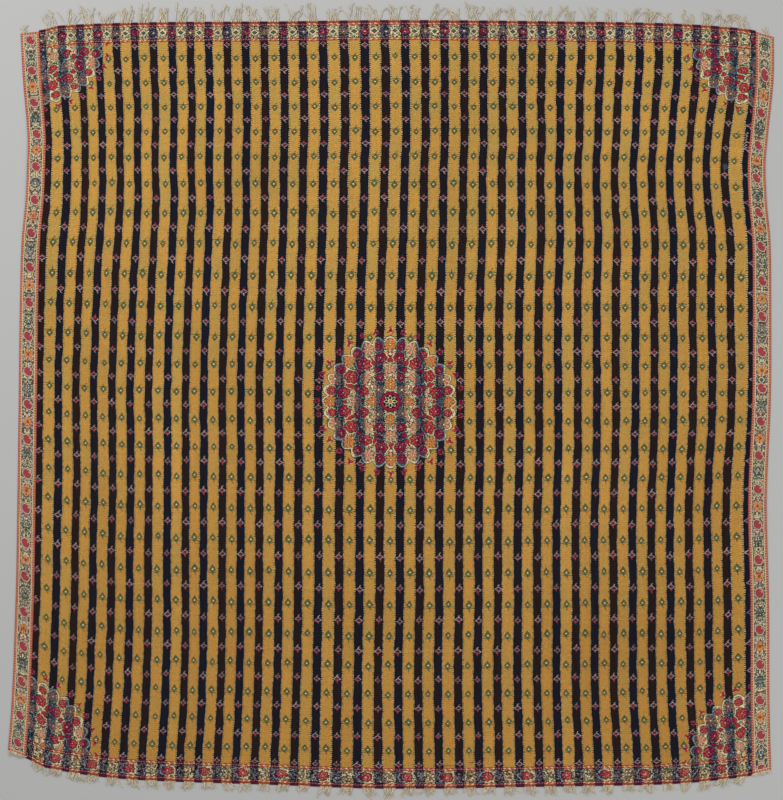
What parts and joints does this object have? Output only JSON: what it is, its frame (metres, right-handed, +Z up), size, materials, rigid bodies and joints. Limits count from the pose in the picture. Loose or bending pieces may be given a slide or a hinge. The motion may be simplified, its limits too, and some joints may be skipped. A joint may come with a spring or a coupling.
{
  "type": "kashmir moon shawl laid flat",
  "caption": "Square striped shawl lying flat, with a round medallion, sewn side borders and fringed ends.",
  "frame": {"origin": "middle of the whole outline, on the surface that the cloth rests on", "axes": "+Z up out of the cloth, +Y along the stripes to the end with the longer fringe, +X across the stripes"},
  "size_m": [1.761, 1.8262, 0.0061],
  "materials": {
    "field_cloth": "soft woven twill, matt, golden ochre and blue-black stripes with crimson, green and cream motifs",
    "border_cloth": "soft woven twill, matt, cream and coral with green and rose motifs",
    "fringe_yarn": "loose twisted yarn, matt, pale cream"
  },
  "bodies": {
    "root": {"field": "field_cloth", "border_left": "border_cloth", "border_right": "border_cloth", "fringe_top": "fringe_yarn", "fringe_bottom": "fringe_yarn"}
  },
  "joints": []
}
